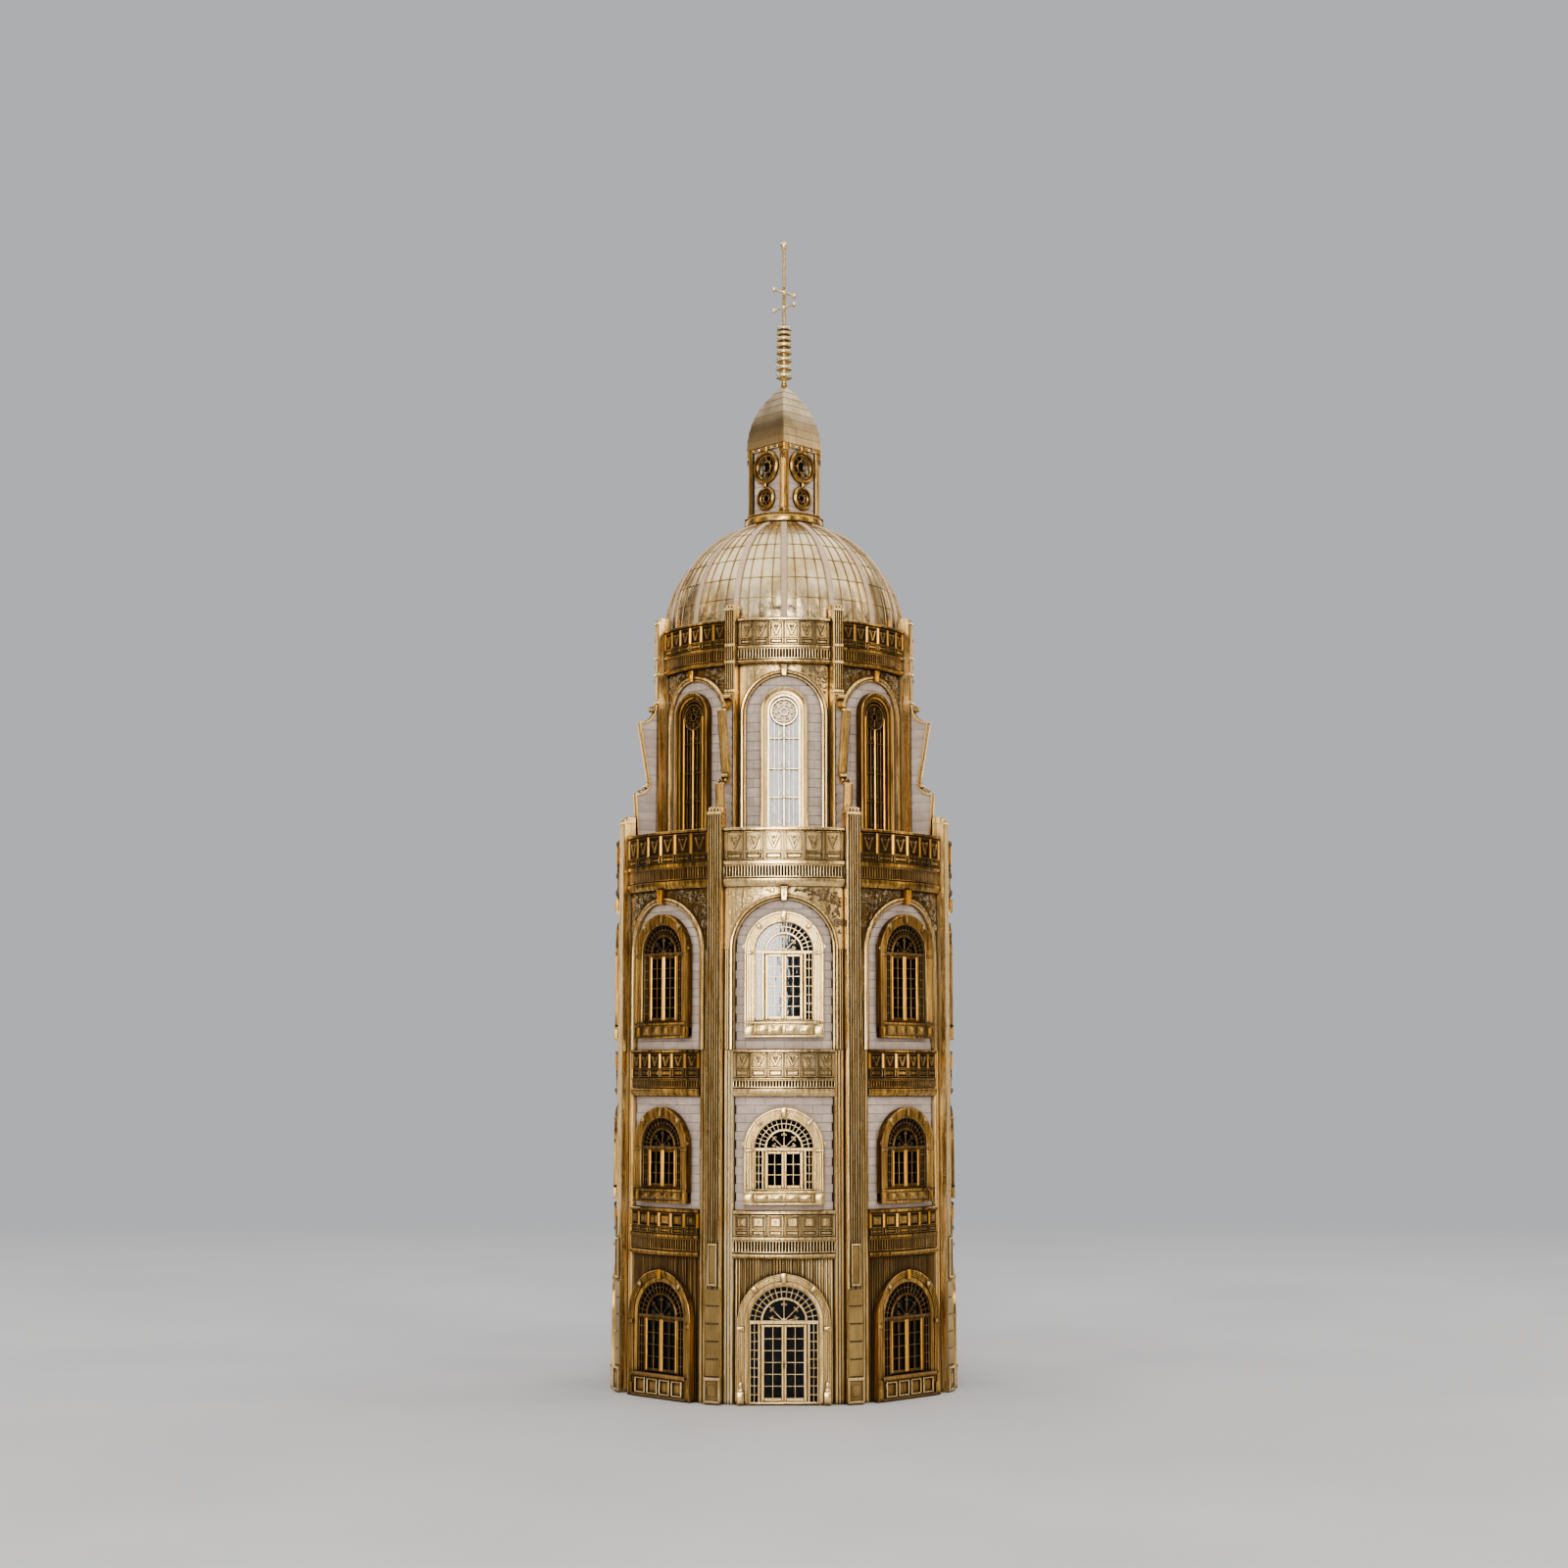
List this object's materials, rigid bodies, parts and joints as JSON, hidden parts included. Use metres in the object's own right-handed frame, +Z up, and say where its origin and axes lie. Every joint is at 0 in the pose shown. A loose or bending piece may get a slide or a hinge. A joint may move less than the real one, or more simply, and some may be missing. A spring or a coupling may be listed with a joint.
{
  "type": "tower monstrance",
  "caption": "Free-standing gilt tower monstrance with arched windows, a glazed upper chamber holding a round luna, opening doors and casements, and a lift-off ribbed dome.",
  "frame": {"origin": "centre of the base on the resting plane", "axes": "+Z up the tower's axis; -Y out through the door"},
  "size_m": [0.2082, 0.2082, 0.7131],
  "materials": {
    "gilt": "worn gilding with dark patina in the recesses",
    "gilt_dark": "darkened gilding",
    "gilt_light": "bright rubbed gilding",
    "stone": "matt mauve-grey, faintly coursed",
    "glass": "clear, slightly cool",
    "core": "dark lining tube",
    "felt": "dark green felt"
  },
  "bodies": {
    "tower": {"base_plate": "gilt_dark", "felt_pad": "felt", "base_screws": "gilt_dark", "core_tube": "core", "ground_drum": "gilt", "ground_arches": "gilt", "ground_windows": "gilt", "ground_glass": "glass", "ground_sills": "gilt_dark", "door_frame": "gilt", "door_frame_glass": "glass", "hinge_pins": "gilt_dark", "floor_one": "gilt_dark", "band_one": "gilt", "lower_piers": "gilt", "pier_blocks": "gilt_dark", "gilt_strips": "gilt_light", "second_drum": "gilt_dark", "second_stone": "stone", "second_windows": "gilt", "second_glass": "glass", "floor_two": "gilt_dark", "band_two": "gilt", "third_drum": "gilt_dark", "third_stone": "stone", "third_arches": "gilt", "third_windows": "gilt", "third_glass": "glass", "terrace_floor": "gilt_dark", "lower_parapet": "gilt", "chamber_drum": "gilt_dark", "chamber_stone": "stone", "chamber_arches": "gilt", "lancet_frames": "gilt_light", "lancet_glass": "glass", "buttresses": "stone", "buttress_copings": "gilt_light", "upper_piers": "gilt", "upper_parapet": "gilt", "luna_socket": "gilt"},
    "door_left": {"door_leaf_left": "gilt_light", "door_glass_left": "glass", "door_knobs_left": "gilt_light"},
    "door_right": {"door_leaf_right": "gilt_light", "door_glass_right": "glass", "door_knobs_right": "gilt_light"},
    "casement_two_l": {"casement_two_left": "gilt_light"},
    "casement_two_r": {"casement_two_right": "gilt_light"},
    "casement_three_l": {"casement_three_left": "gilt_light"},
    "casement_three_r": {"casement_three_right": "gilt_light"},
    "dome": {"dome_shell": "gilt_light", "dome_ribs": "stone", "lantern_base": "gilt", "lantern_body": "stone", "oculus_rings": "gilt", "cupola_roof": "gilt_light", "finial_spindle": "gilt_light", "finial_rod": "gilt_light"},
    "luna": {"luna_ring": "gilt_light", "luna_lenses": "glass"}
  },
  "joints": [
    {"name": "door_left_hinge", "type": "hinge", "parent": "tower", "child": "door_left", "pos_m": [-0.0124, -0.0994, 0.0234], "axis": [0, 0, -1], "range_deg": [0, 95]},
    {"name": "door_right_hinge", "type": "hinge", "parent": "tower", "child": "door_right", "pos_m": [0.0124, -0.0994, 0.0234], "axis": [0, 0, 1], "range_deg": [0, 95]},
    {"name": "casement_two_left_hinge", "type": "hinge", "parent": "tower", "child": "casement_two_l", "pos_m": [-0.0104, -0.0994, 0.1305], "axis": [0, 0, -1], "range_deg": [0, 95]},
    {"name": "casement_two_right_hinge", "type": "hinge", "parent": "tower", "child": "casement_two_r", "pos_m": [0.0104, -0.0994, 0.1305], "axis": [0, 0, 1], "range_deg": [0, 95]},
    {"name": "casement_three_left_hinge", "type": "hinge", "parent": "tower", "child": "casement_three_l", "pos_m": [-0.0104, -0.0994, 0.2343], "axis": [0, 0, -1], "range_deg": [0, 95]},
    {"name": "casement_three_right_hinge", "type": "hinge", "parent": "tower", "child": "casement_three_r", "pos_m": [0.0104, -0.0994, 0.2343], "axis": [0, 0, 1], "range_deg": [0, 95]},
    {"name": "dome_lift", "type": "slide", "parent": "tower", "child": "dome", "axis": [0, 0, 1], "range_m": [0, 0.12]},
    {"name": "luna_lift", "type": "slide", "parent": "tower", "child": "luna", "axis": [0, 0, 1], "range_m": [0, 0.118]}
  ]
}
